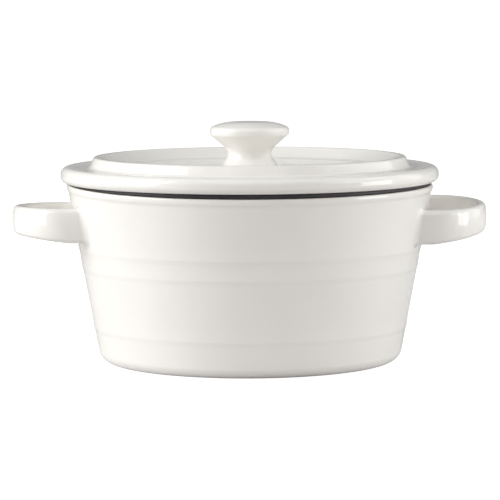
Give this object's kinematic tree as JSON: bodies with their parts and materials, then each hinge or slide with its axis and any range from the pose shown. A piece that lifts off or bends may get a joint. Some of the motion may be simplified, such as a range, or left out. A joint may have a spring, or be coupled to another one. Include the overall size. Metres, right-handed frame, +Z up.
{
  "type": "lidded soup bowl",
  "caption": "Round tapered soup bowl with a strap handle on each side and a lid that lifts off by its mushroom knob, over a soft seal ring.",
  "frame": {"origin": "on the table, under the bowl's axis", "axes": "+Z up along the bowl's axis, +X out through the right handle, so the handles lie along X"},
  "size_m": [0.1696, 0.135, 0.0854],
  "materials": {
    "glaze": "glossy warm white glaze on stoneware",
    "silicone": "satin charcoal silicone"
  },
  "bodies": {
    "bowl": {"bowl": "glaze", "right_handle": "glaze", "left_handle": "glaze"},
    "seal": {"seal_ring": "silicone"},
    "lid": {"lid": "glaze", "lid_knob": "glaze"}
  },
  "joints": [
    {"name": "lid_lift", "type": "slide", "parent": "bowl", "child": "seal", "axis": [0, 0, 1], "range_m": [0, 0.1]},
    {"name": "lid_turn", "type": "hinge", "parent": "seal", "child": "lid", "pos_m": [0, 0, 0.0642], "axis": [0, 0, 1], "continuous": true}
  ]
}
